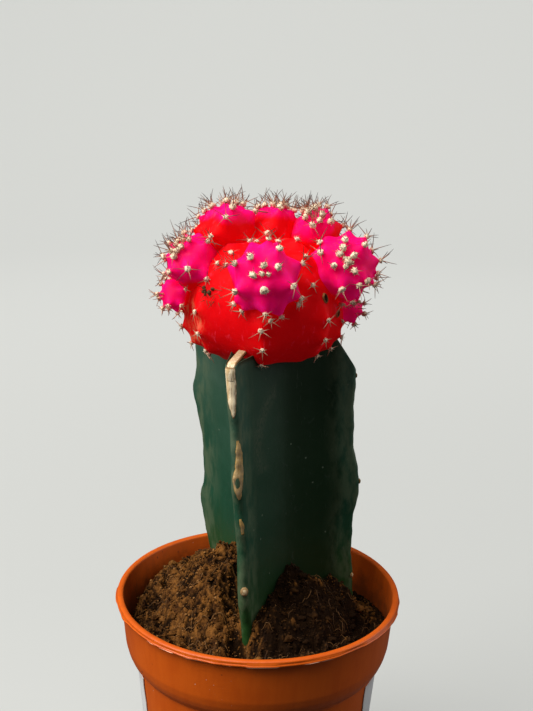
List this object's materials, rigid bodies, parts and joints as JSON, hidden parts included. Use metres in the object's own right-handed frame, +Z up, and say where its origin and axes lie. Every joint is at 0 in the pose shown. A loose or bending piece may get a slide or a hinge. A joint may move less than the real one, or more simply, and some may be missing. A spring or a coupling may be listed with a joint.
{
  "type": "potted moon cactus",
  "caption": "Grafted red cactus with a crowd of pink offsets on a three-winged green rootstock, growing in a small tapered nursery pot with a rolled lip.",
  "frame": {"origin": "middle of the pot's base, on the surface it stands on", "axes": "+Z up along the pot; +X to the right and +Y to the back as the plant is seen with its front wing nearest"},
  "size_m": [0.055, 0.055, 0.1271],
  "materials": {
    "pot": "satin",
    "label": "matte",
    "soil": "matte",
    "rootstock": "satin",
    "scion": "satin",
    "offset": "satin",
    "tuft": "matte"
  },
  "bodies": {
    "root": {"pot": "pot", "label": "label", "soil": "soil", "rootstock": "rootstock", "scion_head": "scion", "offset_front": "offset", "offset_left": "offset", "offset_left_low": "offset", "offset_top_left": "offset", "offset_top": "offset", "offset_top_right": "offset", "offset_right": "offset", "offset_right_low": "offset", "offset_back_left": "offset", "offset_back_right": "offset", "offset_back_low": "offset", "tuft_front": "tuft", "tuft_left": "tuft", "tuft_left_low": "tuft", "tuft_top_left": "tuft", "tuft_top": "tuft", "tuft_top_right": "tuft", "tuft_right": "tuft", "tuft_right_low": "tuft", "tuft_back_left": "tuft", "tuft_back_right": "tuft", "tuft_back_low": "tuft"}
  },
  "joints": []
}
